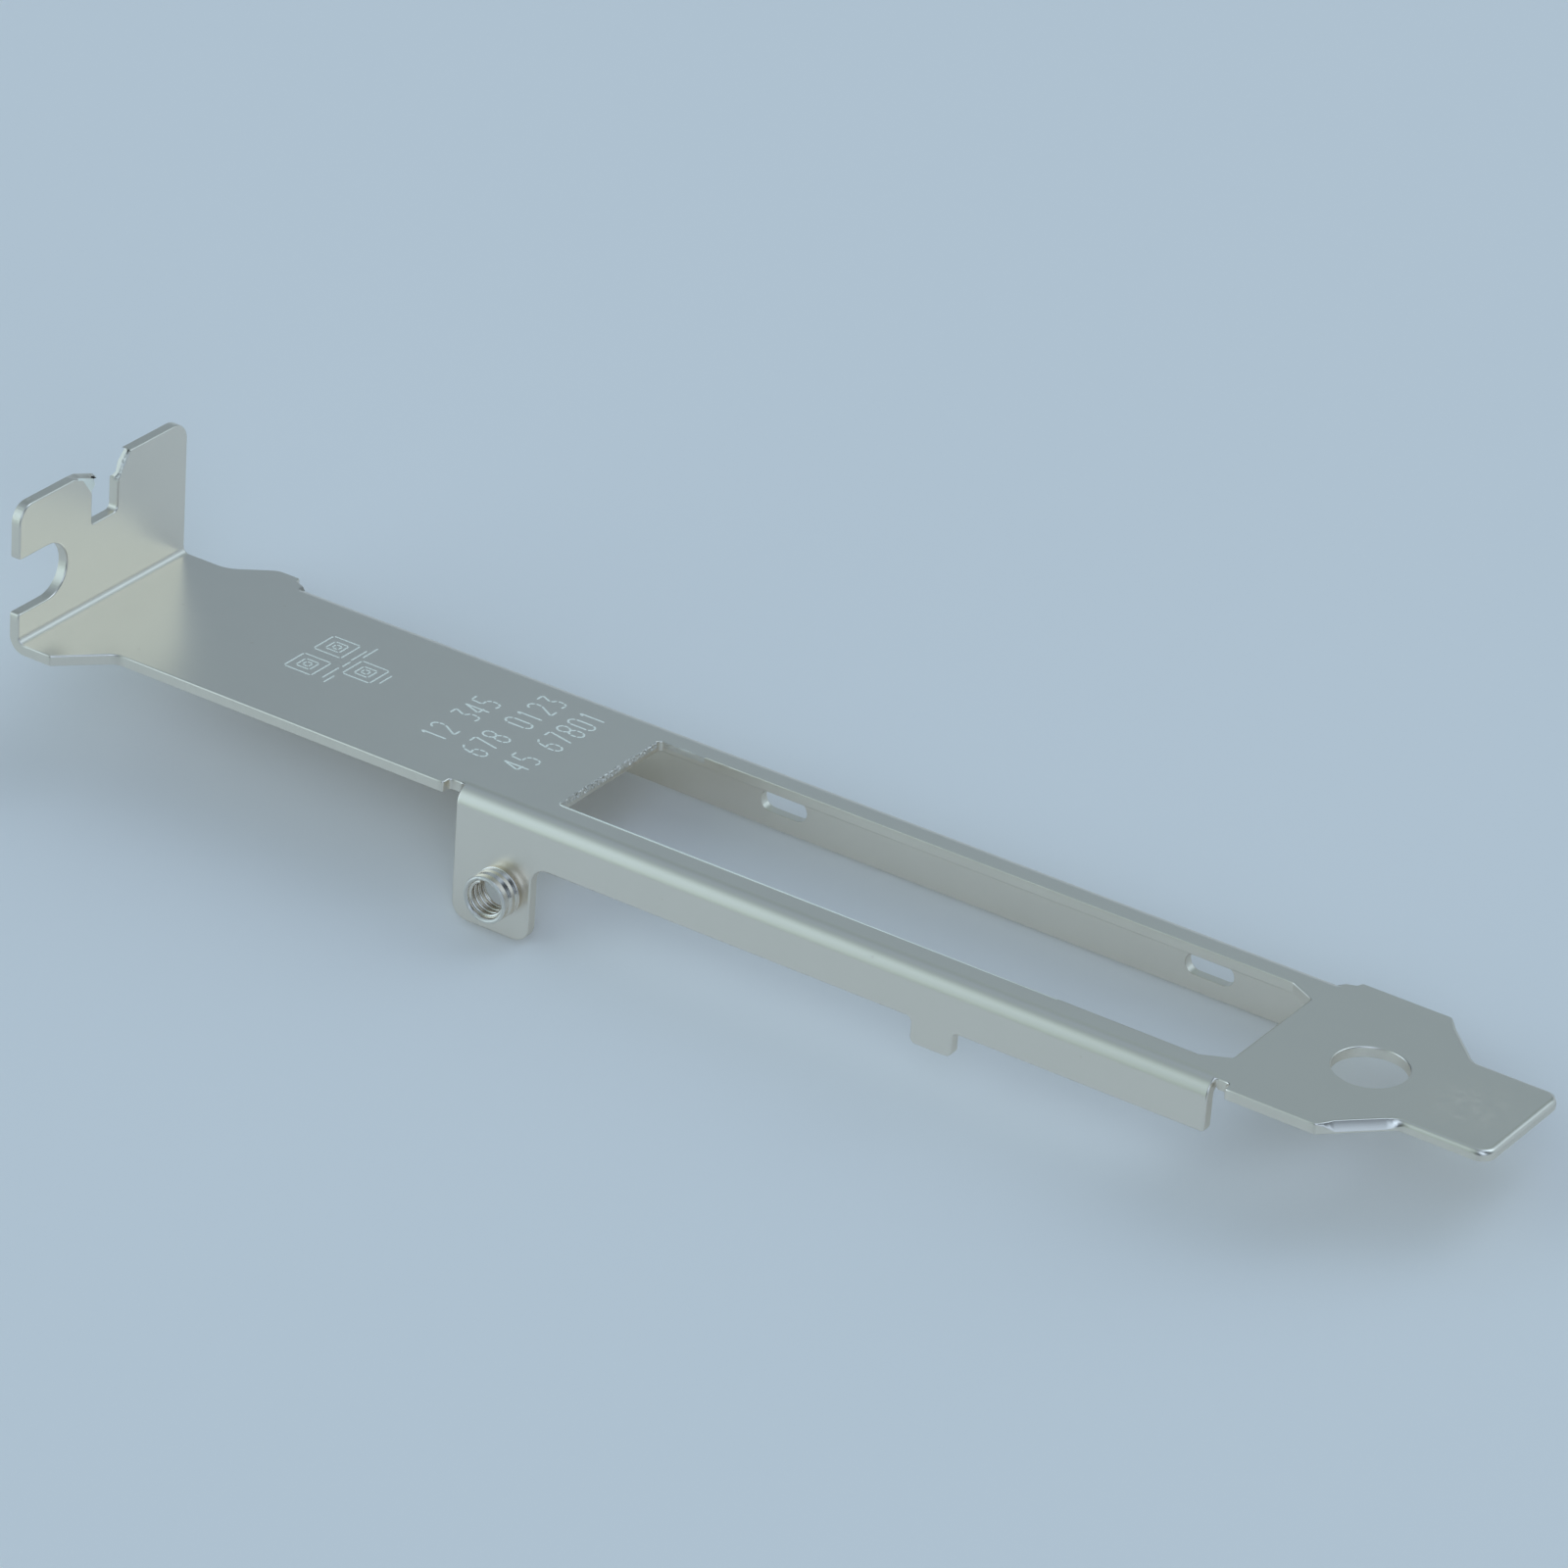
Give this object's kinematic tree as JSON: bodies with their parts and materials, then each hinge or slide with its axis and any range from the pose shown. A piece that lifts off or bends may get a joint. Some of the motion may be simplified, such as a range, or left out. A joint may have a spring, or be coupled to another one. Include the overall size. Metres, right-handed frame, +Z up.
{
  "type": "full height expansion slot bracket",
  "caption": "Full height expansion slot bracket folded from plated sheet steel, with a screw tab, a port window, folded flanges, a threaded ear and a tongue.",
  "frame": {"origin": "middle of the footprint, on the surface the bracket lies on", "axes": "+X along the blade from the screw tab to the tongue, +Z up as the bracket lies at rest; the blade's outer face leans about 18 degrees from +Z towards +Y"},
  "size_m": [0.12, 0.0228, 0.0213],
  "materials": {
    "plated_steel": "satin nickel plate"
  },
  "bodies": {
    "root": {"bracket": "plated_steel"}
  },
  "joints": []
}
